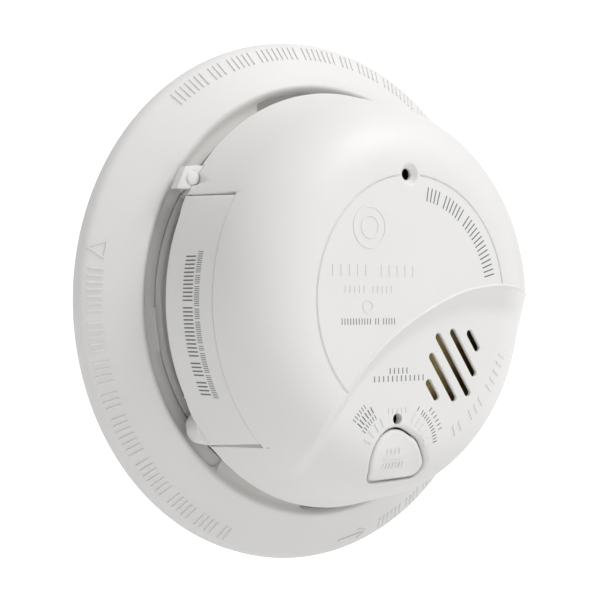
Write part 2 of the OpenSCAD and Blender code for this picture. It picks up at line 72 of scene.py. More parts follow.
RIM_R, RIM_Z = 55.3, 17.0
FACE_Z, FLOOR_Z = 46.4, 42.6
SHOULDER_X, SHOULDER_R = 32.0, 20.0
FLOOR_SHOULDER_X, FLOOR_SHOULDER_R = 33.8, 19.5
SHOULDER_END_DEG = 17.2
SHOULDER_END = math.radians(SHOULDER_END_DEG)
FLOOR_END = math.radians(12.0)
SEAM_R, SEAM_Z = 51.1, 32.3
DRAWER_TOP, DRAWER_LOW = 25.4, -36.1
DRAWER_TOP_LEAN, DRAWER_LOW_LEAN = 0.5, 1.3
OPEN_TOP = 25.7
OPEN_LOW, OPEN_LOW_SEAM = -36.4, -35.8
NOTCH_TOP, NOTCH_R = 33.4, 55.11
LOCK_X, LOCK_Y = -47.2, 29.9
COVER_T = 2.0
SCOOP_X, SCOOP_Y = 28.0, -53.0
GROOVE_R = 31.25
LED_HOLE = (-2.5, -29.9)
LED_R = 1.4
FACE_HOLE = (-1.9, 31.35)
# Circles that the test button's outline runs round: centre, radius, first and last angle
BUTTON_ARCS = [
    ((6.0, -42.6), 2.8, -89.1, 33.5),
    ((0.9, -39.75), 5.4, 33.5, 59.3),
    ((-2.6, -39.3), 6.8, 59.3, 193.9),
    ((-6.4, -43.5), 2.1, 193.9, 270.9),
]
BUTTON_C = (-3.25, -39.6)
STEM_C = (-1.5, -41.3)
BUTTON_GAP = 0.5
SLOT_W = 1.95
HORN_C, HORN_POCKET_R = (16.5, -17.6), 14.2


def world(p):
    return Vector((p[0] * MM, -p[2] * MM, p[1] * MM))


def polar(r, deg):
    return r * math.cos(math.radians(deg)), r * math.sin(math.radians(deg))


def clamp(v):
    return min(1.0, max(0.0, v))


def around(c, r, deg):
    """Point at an angle and distance from a centre."""
    dx, dy = polar(r, deg)
    return c[0] + dx, c[1] + dy


# ---- materials ----

MATS = {}


def map_range(tree, value, span, to, kind="LINEAR"):
    """Carries a value from one span over to another, and stops at its ends."""
    n = tree.nodes.new("ShaderNodeMapRange")
    n.interpolation_type = kind
    for key, number in zip(("From Min", "From Max", "To Min", "To Max"), (*span, *to)):
        n.inputs[key].default_value = number
    tree.links.new(value, n.inputs["Value"])
    return n.outputs["Result"]


class Mat:
    """A small helper that builds a procedural Principled material."""

    def __init__(self, name, **sockets):
        self.m = MATS[name] = bpy.data.materials.new(name)
        self.m.use_nodes = True
        self.nt = self.m.node_tree
        self.bsdf = self.nt.nodes["Principled BSDF"]
        for key, value in sockets.items():
            self.bsdf.inputs[key.replace("_", " ")].default_value = value
        self.coord = self.node("ShaderNodeTexCoord")

    def node(self, kind, **props):
        n = self.nt.nodes.new(kind)
        for key, value in props.items():
            setattr(n, key, value)
        return n

    def link(self, a, b):
        self.nt.links.new(a, b)

    def noise(self, scale, detail=2.0, rough=0.5, stretch=None):
        n = self.node("ShaderNodeTexNoise")
        n.inputs["Scale"].default_value = scale
        n.inputs["Detail"].default_value = detail
        n.inputs["Roughness"].default_value = rough
        source = self.coord.outputs["Object"]
        if stretch:
            mapping = self.node("ShaderNodeMapping")
            mapping.inputs["Scale"].default_value = stretch
            self.link(source, mapping.inputs["Vector"])
            source = mapping.outputs["Vector"]
        self.link(source, n.inputs["Vector"])
        return n.outputs["Fac"]

    def colour(self, fac, low, high, at=(0.35, 0.65)):
        n = self.node("ShaderNodeValToRGB")
        for e, place, tone in zip(n.color_ramp.elements, at, (low, high)):
            e.position = place
            e.color = (*tone, 1.0)
        self.link(fac, n.inputs["Fac"])
        self.link(n.outputs["Color"], self.bsdf.inputs["Base Color"])

    def rough_from(self, fac, low, high):
        self.link(map_range(self.nt, fac, (0.3, 0.7), (low, high)), self.bsdf.inputs["Roughness"])

    def bump(self, fac, strength, distance):
        n = self.node("ShaderNodeBump")
        n.inputs["Strength"].default_value = strength
        n.inputs["Distance"].default_value = distance
        previous = self.bsdf.inputs["Normal"]
        if previous.is_linked:
            self.link(previous.links[0].from_socket, n.inputs["Normal"])
        self.link(fac, n.inputs["Height"])
        self.link(n.outputs["Normal"], previous)


def moulded(name, colour, spread=0.012, roughness=0.46, grain=0.22):
    """Moulded plastic: a fine spark-eroded grain and a slow change of tone."""
    m = Mat(name, Roughness=roughness, IOR=1.5, Specular_IOR_Level=0.42)
    low = tuple(max(0.0, c - spread) for c in colour)
    m.colour(m.noise(38.0, 3.0), low, colour)
    m.rough_from(m.noise(900.0, 2.0), roughness - 0.05, roughness + 0.06)
    m.bump(m.noise(2600.0, 2.0, 0.6), grain, 0.00006)
    m.bump(m.noise(150.0, 2.0), 0.08, 0.0002)


def metal(name, colour, roughness=0.3):
    """Metal brushed along one way."""
    stretch = (1.0, 1.0, 14.0)
    m = Mat(name, Roughness=roughness, Metallic=1.0)
    dark = tuple(c * 0.86 for c in colour)
    m.colour(m.noise(420.0, 3.0, 0.6, stretch), dark, colour)
    m.rough_from(m.noise(700.0, 2.0, 0.5, stretch), roughness - 0.07, roughness + 0.1)
    m.bump(m.noise(1500.0, 2.0, 0.5, stretch), 0.12, 0.00003)


def lacquer(name, colour):
    m = Mat(name, Roughness=0.28, IOR=1.5)
    m.colour(m.noise(300.0, 2.0), tuple(c * 0.85 for c in colour), colour)
    m.rough_from(m.noise(600.0), 0.23, 0.38)
    m.bump(m.noise(500.0, 2.0), 0.1, 0.00005)


WHITE = (0.765, 0.757, 0.742)
moulded("bracket_plastic", (0.76, 0.752, 0.737), roughness=0.5)
moulded("housing_plastic", WHITE)
moulded("drawer_plastic", WHITE)
moulded("button_plastic", (0.775, 0.768, 0.753), roughness=0.4, grain=0.12)
moulded("dark_plastic", (0.022, 0.022, 0.024), spread=0.006, roughness=0.42)
moulded("white_inner_plastic", (0.70, 0.70, 0.67), spread=0.03)
moulded("label_film", (0.62, 0.62, 0.60), spread=0.02, roughness=0.35, grain=0.05)
moulded("seal_rubber", (0.02, 0.02, 0.02), spread=0.004, roughness=0.7)
metal("steel", (0.62, 0.63, 0.64))
metal("brass", (0.62, 0.47, 0.22), roughness=0.34)
lacquer("cell_jacket", (0.10, 0.24, 0.42))
lacquer("film_yellow", (0.60, 0.40, 0.05))
lacquer("sleeve_blue", (0.03, 0.05, 0.16))
lacquer("varistor_blue", (0.05, 0.15, 0.42))
lacquer("resistor_beige", (0.50, 0.38, 0.22))
lacquer("plunger_red", (0.40, 0.05, 0.04))


def lens(name, colour):
    m = Mat(name, Roughness=0.12, IOR=1.5, Transmission_Weight=0.55)
    m.colour(m.noise(350.0), tuple(c * 0.8 for c in colour), colour)
    m.bump(m.noise(300.0), 0.03, 0.00004)


lens("light_guide", (0.80, 0.82, 0.80))
lens("led_green", (0.08, 0.45, 0.12))
lens("led_red", (0.55, 0.04, 0.03))

board = Mat("board_laminate", Roughness=0.3, IOR=1.5)
tracks = board.noise(260.0, 1.0, 0.4)
board.colour(tracks, (0.012, 0.075, 0.022), (0.03, 0.15, 0.045), at=(0.47, 0.5))
board.bump(tracks, 0.2, 0.00005)

ink = Mat("print_ink", Roughness=0.55)
ink.colour(ink.noise(2200.0, 2.0), (0.115, 0.115, 0.12), (0.17, 0.17, 0.175))
ink.bump(ink.noise(1800.0), 0.1, 0.00003)

SLOT_OF = {s["node"]: s["material_slot"] for s in frame["record"]["subparts"]}


# ---- mesh helpers ----


def put_in_scene(name, data):
    obj = bpy.data.objects.new(name, data)
    bpy.context.scene.collection.objects.link(obj)
    return obj


def make_piece(name, b, body, slot, replaces=(), sharp=40.0):
    """A mesh piece from what a builder collected, with the normals that it was given."""
    mesh = bpy.data.meshes.new(name)
    mesh.from_pydata([world(v) for v in b.verts], [], b.faces)
    mesh.validate(clean_customdata=False)
    mesh.update()
    obj = put_in_scene(name, mesh)
    mesh.materials.append(MATS[slot])
    mesh.shade_smooth()
    mesh.set_sharp_from_angle(angle=math.radians(sharp))
    if any(n is not None for n in b.normals):
        flat = [(0.0, 0.0, 0.0) if n is None else (n[0], -n[2], n[1]) for n in b.normals]
        mesh.normals_split_custom_set_from_vertices(flat)
    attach(obj, body)
    if replaces:
        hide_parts(*replaces)


class Builder:
    """Collects vertices and faces in the working frame."""

    def __init__(self):
        self.verts, self.faces, self.normals = [], [], []

    def add(self, p, n=None):
        self.verts.append(tuple(p))
        self.normals.append(n)
        return len(self.verts) - 1

    def grid(self, rows, closed_u=False, closed_v=False, flip=False):
        """Quads through rows of points, all the same length."""
        ids = [[self.add(p) for p in row] for row in rows]
        nu, nv = len(ids), len(ids[0])
        for i in range(nu if closed_u else nu - 1):
            for j in range(nv if closed_v else nv - 1):
                a, b = ids[i][j], ids[i][(j + 1) % nv]
                c, d = ids[(i + 1) % nu][(j + 1) % nv], ids[(i + 1) % nu][j]
                self.faces.append((a, d, c, b) if flip else (a, b, c, d))
        return ids

    def cap(self, ids, flip=False):
        self.faces.append(tuple(reversed(ids)) if flip else tuple(ids))

    def solid(self, rows, closed=False):
        """A solid through rows of points, capped at both ends unless it closes on itself."""
        ids = self.grid(rows, closed_u=closed, closed_v=True, flip=True)
        if not closed:
            self.cap(ids[0])
            self.cap(ids[-1], flip=True)

    def box(self, lo, hi, bevel, turn=0.0):
        """A box with its edges cut back, then turned about the alarm's axis."""
        bm = bmesh.new()
        bmesh.ops.create_cube(bm, size=1.0)
        centre = [(a + b) / 2 for a, b in zip(lo, hi)]
        size = [b - a for a, b in zip(lo, hi)]
        for v in bm.verts:
            v.co = Vector([c + s * k for c, s, k in zip(centre, size, v.co)])
        width = min(bevel, min(size) * 0.3)
        bmesh.ops.bevel(
            bm, geom=list(bm.edges), offset=width, segments=2, profile=0.5, affect="EDGES"
        )
        matrix = Matrix.Rotation(math.radians(turn), 3, "Z")
        bmesh.ops.rotate(bm, verts=bm.verts, cent=(0, 0, 0), matrix=matrix)
        self.take(bm)
        bm.free()

    def take(self, bm):
        base = len(self.verts)
        bm.verts.index_update()
        for v in bm.verts:
            self.add(tuple(v.co))
        for f in bm.faces:
            self.faces.append(tuple(base + v.index for v in f.verts))

    def lathe_arc(self, profile, a0, a1, step=2.0, centre=(0.0, 0.0), closed=False):
        """A solid from a closed profile of (radius, z), swept from angle a0 to a1."""
        n = max(2, int(math.ceil((a1 - a0) / step)))
        rows = []
        for i in range(n if closed else n + 1):
            deg = a0 + (a1 - a0) * i / n
            rows.append([(*around(centre, r, deg), z) for r, z in profile])
        self.solid(rows, closed)


def rounded(profile, radius, steps=2):
    """Rounds the corners of a closed polygon of (r, z) points."""
    out = []
    n = len(profile)
    for i, p in enumerate(profile):
        p = Vector(p)
        a, b = Vector(profile[i - 1]), Vector(profile[(i + 1) % n])
        da, db = (a - p), (b - p)
        cut = min(radius, da.length * 0.45, db.length * 0.45)
        pa, pb = p + da.normalized() * cut, p + db.normalized() * cut
        for k in range(steps + 1):
            t = k / steps
            out.append(tuple((1 - t) ** 2 * pa + 2 * t * (1 - t) * p + t * t * pb))
    return out


# ---- surface of the front ----


def shoulder_height(r, top, centre, radius, end):
    """Height of a revolved profile: flat top, rounded shoulder, then a straight wall to the rim."""
    centre_r, centre_z = centre
    if r <= centre_r:
        return top
    end_r = centre_r + radius * math.cos(end)
    end_z = centre_z + radius * math.sin(end)
    if r <= end_r:
        return centre_z + math.sqrt(max(0.0, radius**2 - (r - centre_r) ** 2))
    return end_z + (RIM_Z - end_z) * (r - end_r) / (RIM_R - end_r)


def dome_height(r, inset=0.0):
    return shoulder_height(
        r, FACE_Z - inset, (SHOULDER_X, FACE_Z - SHOULDER_R), SHOULDER_R - inset, SHOULDER_END
    )


def floor_height(r, inset=0.0):
    z = shoulder_height(
        r,
        FLOOR_Z - inset,
        (FLOOR_SHOULDER_X, FLOOR_Z - FLOOR_SHOULDER_R),
        FLOOR_SHOULDER_R - inset,
        FLOOR_END,
    )
    return min(z, dome_height(r, inset))


# Radii of the bank's top edge and foot around the scoop's centre, by angle in degrees
BANK_ANGLES = [55, 66, 74, 86, 101, 114, 127, 139, 150, 158, 164, 170, 185]
BANK_TOP = [57.6, 57.4, 57.1, 56.7, 55.9, 55.3, 55.8, 56.9, 57.9, 57.9, 57.4, 56.6, 55.0]
BANK_FOOT = [45.0, 46.3, 47.6, 49.1, 50.2, 50.3, 50.9, 52.1, 53.7, 54.7, 54.9, 54.5, 53.2]
BANK_BEND = 0.45
SOFT_BANK_FROM, SOFT_BANK_SPAN, SOFT_BANK_REACH = 160.0, 16.0, 2.6
BEAD_H, BEAD_AT, BEAD_W = 0.3, 0.3, 0.27


def smooth_interp(x, xs, ys):
    """Cubic interpolation through points, for the bank's edges."""
    x = min(max(x, xs[0]), xs[-1])
    i = max(j for j in range(len(xs) - 1) if xs[j] <= x)
    h = xs[i + 1] - xs[i]

    def slope(j):
        a, b = max(j - 1, 0), min(j + 1, len(xs) - 1)
        return (ys[b] - ys[a]) / (xs[b] - xs[a])

    t = (x - xs[i]) / h
    return (
        (2 * t**3 - 3 * t**2 + 1) * ys[i]
        + (t**3 - 2 * t**2 + t) * h * slope(i)
        + (-2 * t**3 + 3 * t**2) * ys[i + 1]
        + (t**3 - t**2) * h * slope(i + 1)
    )


TABLE_STEP = 0.25
TABLE_SIZE = int((BANK_ANGLES[-1] - BANK_ANGLES[0]) / TABLE_STEP) + 1
TABLE_A = [BANK_ANGLES[0] + TABLE_STEP * i for i in range(TABLE_SIZE)]
TOP_TABLE = [smooth_interp(a, BANK_ANGLES, BANK_TOP) for a in TABLE_A]
FOOT_TABLE = [smooth_interp(a, BANK_ANGLES, BANK_FOOT) for a in TABLE_A]


def bank_radii(deg):
    """Radii of the bank's foot and of its top edge."""
    return [float(np.interp(deg, TABLE_A, table)) for table in (FOOT_TABLE, TOP_TABLE)]


def bank_share(x, y):
    """0 on the lowered floor, 1 on the dome; then the distance outwards from the top edge, and
    how crisp that edge is."""
    dx, dy = x - SCOOP_X, y - SCOOP_Y
    r = math.hypot(dx, dy)
    deg = math.degrees(math.atan2(dy, dx)) % 360.0
    foot, top = bank_radii(deg)
    crisp = clamp((SOFT_BANK_FROM - deg) / SOFT_BANK_SPAN)
    s = (r - foot) / (top - foot)
    k = 1.0 / (2 * BANK_BEND - BANK_BEND**2)
    if s <= 0:
        h = 0.0
    elif s < BANK_BEND:
        h = k * s * s
    elif s < 1:
        h = k * BANK_BEND**2 + 2 * k * BANK_BEND * (s - BANK_BEND)
    else:
        h = 1.0
    if crisp < 1.0:
        # Towards its left end the bank runs out in a wide rounded ridge
        t = clamp((r - foot) / (top + SOFT_BANK_REACH - foot))
        h = crisp * h + (1.0 - crisp) * t * t * (3.0 - 2.0 * t)
    return h, r - top, crisp


def base_height(x, y):
    """Height of the front without its grooves and openings."""
    r = math.hypot(x, y)
    h, beyond, crisp = bank_share(x, y)
    zd, zf = dome_height(r), floor_height(r)
    z = zf + (zd - zf) * h
    if -0.8 < beyond < 1.4 and zd - zf > 0.05:
        step = min(1.0, (zd - zf) / 2)
        z += BEAD_H * crisp * step * math.exp(-(((beyond - BEAD_AT) / BEAD_W) ** 2))
    return z


SLOT_ANGLE = -55.0
SLOT_ROW = 40.2
SLOT_PITCH = 4.8
SLOT_CENTRE = (16.8, -16.9)
SLOT_HALF = [2.2, 6.6, 9.0, 6.5, 2.3]


def slot_segments():
    out = []
    for i, half in enumerate(SLOT_HALF):
        c = around(SLOT_CENTRE, (i - 2) * SLOT_PITCH, SLOT_ROW)
        out.append((around(c, -half, SLOT_ANGLE), around(c, half, SLOT_ANGLE)))
    return out


SEGMENTS = slot_segments()


def capsule(seg, grow):
    """Outline of a slot, counter-clockwise."""
    (ax, ay), (bx, by) = seg
    n = 9
    base = math.degrees(math.atan2(by - ay, bx - ax))
    ends = [
        [around(c, SLOT_W / 2 + grow, base + turn + 180 * k / n) for k in range(n + 1)]
        for c, turn in (((bx, by), -90), ((ax, ay), 90))
    ]
    out = []
    for this, other in (ends, ends[::-1]):
        out += this + line_points(this[-1], other[0], 10)[1:]
    return out


def circle(c, r, n, start=0.0):
    return [around(c, r, start + 360 * k / n) for k in range(n)]


def line_points(a, b, n):
    return [(a[0] + (b[0] - a[0]) * k / n, a[1] + (b[1] - a[1]) * k / n) for k in range(n)]


def button_outline(grow):
    """Four arcs, counter-clockwise, with evenly spaced points."""
    corners = []
    for centre, radius, a0, a1 in BUTTON_ARCS:
        n = max(5, int(math.radians(a1 - a0) * radius / 0.45))
        for k in range(n + 1):
            corners.append(around(centre, radius + grow, a0 + (a1 - a0) * k / n))
    out = []
    for i, a in enumerate(corners):
        b = corners[(i + 1) % len(corners)]
        n = max(1, int(math.dist(a, b) / 0.7))
        out += line_points(a, b, n)
    return out


BUTTON_EDGE = np.array(button_outline(BUTTON_GAP))


def outline_distance(x, y, poly):
    """Distance from a point to a closed polyline."""
    ab = np.roll(poly, -1, axis=0) - poly
    ap = np.array([x, y]) - poly
    t = np.clip((ap * ab).sum(1) / (ab * ab).sum(1), 0, 1)
    d = ap - ab * t[:, None]
    return float(np.sqrt((d * d).sum(1)).min())


def segment_distance(x, y, seg):
    (ax, ay), (bx, by) = seg
    t = ((x - ax) * (bx - ax) + (y - ay) * (by - ay)) / ((bx - ax) ** 2 + (by - ay) ** 2)
    t = clamp(t)
    return math.hypot(x - ax - t * (bx - ax), y - ay - t * (by - ay))


def fillet_drop(d, radius):
    if d >= radius:
        return 0.0
    d = max(d, 0.0)
    return radius - math.sqrt(max(0.0, radius**2 - (radius - d) ** 2))


SLOT_FILLET, HOLE_FILLET, BUTTON_FILLET = 0.35, 0.3, 1.25
GROOVE_DEPTH, GROOVE_FROM, GROOVE_TO = 0.38, 7.4, 226.6
SINK_R, SINK_DEPTH = 2.85, 1.25


def groove_half(deg):
    """Half width of the groove: fine on the right, wider down the left."""
    return 0.27 + 0.13 * clamp((deg - 110.0) / 50.0)


def open_low_at(x):
    """Lower edge of the drawer opening, which leans a little."""
    return OPEN_LOW + (OPEN_LOW_SEAM - OPEN_LOW) * clamp((x + 41.6) / 5.1)


def sink_drop(d):
    """Funnel round the hole in the face, with a rounded edge."""
    if d >= SINK_R + 0.25:
        return 0.0
    slope = SINK_DEPTH * (SINK_R - d) / (SINK_R - 1.55)
    if abs(d - SINK_R) < 0.25:
        t = (SINK_R + 0.25 - d) / 0.5
        return SINK_DEPTH / (SINK_R - 1.55) * 0.25 * t * t
    return min(SINK_DEPTH, slope)


def groove_depth(x, y):
    off = abs(math.hypot(x, y) - GROOVE_R)
    if off > 0.45:
        return 0.0
    deg = math.degrees(math.atan2(y, x)) % 360.0
    ends = clamp(min(deg - GROOVE_FROM, GROOVE_TO - deg) / 1.6)
    beside_hole = math.hypot(x - FACE_HOLE[0], y - FACE_HOLE[1]) - SINK_R - 0.2
    ends *= clamp(beside_hole / 0.9)
    return GROOVE_DEPTH * ends * max(0.0, 1.0 - (off / groove_half(deg)) ** 3)


def front_height(x, y):
    """Height of the finished front surface."""
    z = base_height(x, y) - groove_depth(x, y)
    if math.hypot(x - SLOT_CENTRE[0], y - SLOT_CENTRE[1]) < 16:
        for seg in SEGMENTS:
            z -= fillet_drop(segment_distance(x, y, seg) - SLOT_W / 2, SLOT_FILLET)
    z -= fillet_drop(math.hypot(x - LED_HOLE[0], y - LED_HOLE[1]) - LED_R, HOLE_FILLET)
    z -= sink_drop(math.hypot(x - FACE_HOLE[0], y - FACE_HOLE[1]))
    if math.hypot(x - BUTTON_C[0], y - BUTTON_C[1]) < 14:
        z -= fillet_drop(outline_distance(x, y, BUTTON_EDGE), BUTTON_FILLET)
    r = math.hypot(x, y)
    if x < 0 and r > SEAM_R - 1 and OPEN_LOW - 1 < y < OPEN_TOP + 1:
        if y > OPEN_TOP:
            z -= fillet_drop(y - OPEN_TOP, 0.3)
        elif y < open_low_at(x):
            z -= fillet_drop(open_low_at(x) - y, 0.3)
    return z


def front_normal(x, y):
    e = 0.03
    gx = (front_height(x + e, y) - front_height(x - e, y)) / (2 * e)
    gy = (front_height(x, y + e) - front_height(x, y - e)) / (2 * e)
    return Vector((-gx, -gy, 1.0)).normalized()


# ---- front cover ----


def at_y(r, y):
    """Point of a circle on the left-hand side at height y."""
    return -math.sqrt(r * r - y * y), y


def left_angle(r, y):
    return 180.0 - math.degrees(math.asin(y / r))


def arc_points(r, a0, a1, n):
    """Points of an arc without its last one."""
    return [polar(r, a0 + (a1 - a0) * k / n) for k in range(n)]


def cover_edge():
    """Outer boundary of the cover seen from the front, counter-clockwise."""
    pts = arc_points(RIM_R, left_angle(RIM_R, OPEN_LOW), 360 + left_angle(RIM_R, NOTCH_TOP), 260)
    pts += line_points(at_y(RIM_R, NOTCH_TOP), at_y(NOTCH_R, NOTCH_TOP), 1)
    pts += arc_points(NOTCH_R, left_angle(NOTCH_R, NOTCH_TOP), left_angle(NOTCH_R, OPEN_TOP), 24)
    pts += line_points(at_y(NOTCH_R, OPEN_TOP), at_y(SEAM_R, OPEN_TOP), 6)
    pts += arc_points(SEAM_R, left_angle(SEAM_R, OPEN_TOP), left_angle(SEAM_R, OPEN_LOW_SEAM), 90)
    pts += line_points(at_y(SEAM_R, OPEN_LOW_SEAM), at_y(RIM_R, OPEN_LOW), 6)
    return pts


def inward(p):
    """Where a point of the cover's edge has its partner on the inner surface."""
    r = math.hypot(*p)
    k = (r - COVER_T) / r
    return p[0] * k, p[1] * k


def triangulate(loops, holes, curves, loose):
    """Constrained triangulation between closed loops, with open curves and loose points in it."""
    verts, edges = [], []

    def put(points, closed):
        base = len(verts)
        verts.extend(Vector(p) for p in points)
        n = len(points)
        edges.extend((base + i, base + i + 1) for i in range(n - 1))
        if closed:
            edges.append((base + n - 1, base))
        return list(range(base, base + n))

    loop_ids = [put(p, True) for p in loops + holes]
    for c in curves:
        put(c[0], c[1])
    verts.extend(Vector(p) for p in loose)
    out_v, _, out_f, orig_v, _, _ = delaunay_2d_cdt(verts, edges, [], 0, 1e-5)
    where = {}
    for new, olds in enumerate(orig_v):
        for old in olds:
            where[old] = new
    return out_v, out_f, [[where[i] for i in ids] for ids in loop_ids]


def inside_polygon(x, y, a):
    """Even-odd test."""
    b = np.roll(a, -1, axis=0)
    crosses = (a[:, 1] > y) != (b[:, 1] > y)
    if not crosses.any():
        return False
    a, b = a[crosses], b[crosses]
    xs = a[:, 0] + (y - a[:, 1]) * (b[:, 0] - a[:, 0]) / (b[:, 1] - a[:, 1])
    return bool((xs > x).sum() % 2)


def sheet_faces(points, faces, edge, holes):
    """Faces of a triangulation that lie inside its edge and outside its holes."""
    edge = np.array(edge)
    holes = [np.array(h) for h in holes]
    for f in faces:
        x = sum(points[i].x for i in f) / len(f)
        y = sum(points[i].y for i in f) / len(f)
        if inside_polygon(x, y, edge) and not any(inside_polygon(x, y, h) for h in holes):
            yield f


def hole_loops():
    return (
        [capsule(seg, 0.0) for seg in SEGMENTS]
        + [circle(LED_HOLE, LED_R, 28), circle(FACE_HOLE, 1.5, 36)]
        + [button_outline(BUTTON_GAP)]
    )


def surface_curves():
    """Lines along which the front's mesh is split, as (points, closed)."""
    for k in range(16):
        a = math.radians(90 - (90 - SHOULDER_END_DEG) * k / 15)
        r = SHOULDER_X + SHOULDER_R * math.cos(a)
        yield circle((0, 0), r, 260, 0.7 * (k % 2)), True
    for r in (51.9, 52.7, 53.5, 54.2, 54.8, 55.2):
        yield circle((0, 0), r, 280, 0.6), True
    for share in (-1.15, -1.0, -0.8, -0.5, 0.0, 0.5, 0.8, 1.0, 1.15):
        pts = []
        for deg in np.linspace(GROOVE_FROM, GROOVE_TO, 260):
            pts.append(polar(GROOVE_R + share * groove_half(deg), deg))
        yield pts, False
    levels = [-0.1, 0.0, 0.12, 0.24, 0.35, 0.45, 0.6, 0.75, 0.9]
    beyond = [-0.35, -0.15, 0.0, 0.15, 0.3, 0.45, 0.65, 0.95, 1.6, 2.6]
    span = np.arange(58.0, 182.0, 0.7)
    for share, past in [(v, 0.0) for v in levels] + [(1.0, v) for v in beyond]:
        pts = []
        for deg in span:
            foot, top = bank_radii(deg)
            r = foot + share * (top - foot) + past
            pts.append(around((SCOOP_X, SCOOP_Y), r, deg))
        yield pts, False
    for seg in SEGMENTS:
        for d in (0.03, 0.09, 0.19, 0.35):
            yield capsule(seg, d), True
    for d in (0.03, 0.08, 0.17, 0.3):
        yield circle(LED_HOLE, LED_R + d, 28), True
    for r in (1.6, 2.1, 2.6, 2.73, 2.85, 2.97, 3.1):
        yield circle(FACE_HOLE, r, 40), True
    for d in (0.04, 0.12, 0.25, 0.45, 0.7, 0.95, 1.25):
        yield button_outline(BUTTON_GAP + d), True
    for d in (0.03, 0.1, 0.3):
        y = OPEN_TOP + d
        yield line_points(at_y(SEAM_R - 0.5, y), at_y(RIM_R, y), 8), False
        a = at_y(SEAM_R - 0.5, OPEN_LOW_SEAM - d)
        yield line_points(a, at_y(RIM_R, OPEN_LOW - d), 8), False


HEX_ROW = 0.866


def hex_points(step, radius, keep):
    pts = []
    row = 0
    y = -radius
    while y < radius:
        x = -radius + (step / 2 if row % 2 else 0)
        while x < radius:
            if math.hypot(x, y) < radius and keep(x, y):
                pts.append((x, y))
            x += step
        y += step * HEX_ROW
        row += 1
    return pts


FLAT_R = 31.0
DIMPLE_R, DIMPLE_DEG = 1.95, 147.6
BOSS_R = 44.1
BOSSES = [(2, 36.0), (108, 38.0), (242, 33.5)]


def beside_lock(x, y):
    return x < -38 and 24 < y < 38


def dimpled(p):
    """Pushes the wall in where the lock pin slides out."""
    x, y, z = p
    r = math.hypot(x, y)
    if not beside_lock(x, y) or z > 24:
        return p
    centre_r = math.hypot(LOCK_X, LOCK_Y)
    deg = math.atan2(y, x)
    t = centre_r * (deg - math.atan2(LOCK_Y, LOCK_X))
    if abs(t) >= DIMPLE_R:
        return p
    cut = centre_r - math.sqrt(DIMPLE_R**2 - t * t)
    if r <= cut:
        return p
    return cut * math.cos(deg), cut * math.sin(deg), z


def build_cover():
    edge = cover_edge()
    holes = hole_loops()
    curves = list(surface_curves())
    dimple = [
        polar(r, DIMPLE_DEG + t)
        for r in (52.3, 52.9, 53.3, 53.7, 54.05, 54.4, 54.65, 54.95)
        for t in np.arange(-2.6, 2.61, 0.3)
    ]
    near = np.array([p for c in [(h, True) for h in holes] + curves for p in c[0]])

    def roomy(x, y):
        d = near - np.array([x, y])
        return (d * d).sum(1).min() > 0.8**2

    loose = hex_points(1.7, FLAT_R, roomy)
    v2, f2, loops = triangulate([edge], holes, curves, dimple + loose)
    b = Builder()

    @cache
    def vertex(i):
        x, y = v2[i]
        p = (x, y, front_height(x, y))
        q = dimpled(p)
        return b.add(q, None if q != p or beside_lock(x, y) else front_normal(x, y))

    for f in sheet_faces(v2, f2, edge, holes):
        b.faces.append(tuple(vertex(i) for i in f))

    # Inner surface: coarser, with partners for every edge point of the outer one
    def inner_height(x, y, rim):
        r = math.hypot(x, y)
        if rim:
            k = (r + COVER_T) / r
            return front_height(x * k, y * k)
        h, _, _ = bank_share(x, y)
        pocket = math.hypot(x - HORN_C[0], y - HORN_C[1]) < HORN_POCKET_R
        zd = dome_height(r, COVER_T)
        zf = floor_height(r, 0.8 if pocket else COVER_T)
        return zf + (zd - zf) * h

    inner_edge = [inward(p) for p in edge]
    curves = [
        (circle((0, 0), SHOULDER_X + (SHOULDER_R - COVER_T) * math.cos(math.radians(a)), 120), True)
        for a in range(90, 17, -9)
    ]
    curves += [(circle((0, 0), r, 150), True) for r in (50.2, 51.4, 52.6)]
    curves += [(circle(HORN_C, HORN_POCKET_R + d, 60), True) for d in (-0.2, 0.2)]
    loose = hex_points(5.0, FLAT_R, lambda x, y: True)
    w2, g2, inner_loops = triangulate([inner_edge], holes, curves, loose)
    rim_ids = set(inner_loops[0])

    @cache
    def inner_vertex(i):
        x, y = w2[i]
        return b.add((x, y, inner_height(x, y, i in rim_ids)))

    for f in sheet_faces(w2, g2, inner_edge, holes):
        b.faces.append(tuple(inner_vertex(i) for i in reversed(f)))

    for k, (outer, inner) in enumerate(zip(loops, inner_loops)):
        top = [b.verts[vertex(i)] for i in outer]
        low = [b.verts[inner_vertex(i)] for i in inner]
        b.grid([top, low], closed_v=True, flip=k == 0)

    # Inner flange, in two stretches beside the drawer, and the screw bosses
    flange = rounded([(49.6, 17.0), (54.2, 17.0), (54.2, 18.4), (49.6, 18.4)], 0.2)
    b.lathe_arc(flange, left_angle(52, -36.5) - 360, left_angle(52, NOTCH_TOP))
    for deg, top in BOSSES:
        tube = rounded([(1.3, 7.0), (3.0, 7.0), (3.0, top), (1.3, top)], 0.3)
        b.lathe_arc(tube, 0, 360, 15, polar(BOSS_R, deg), closed=True)
    make_piece("front_cover_shell", b, "alarm", "housing_plastic", ["front_cover"])


# ---- trim ring and bracket ----

POCKET = (149.0, 231.0)
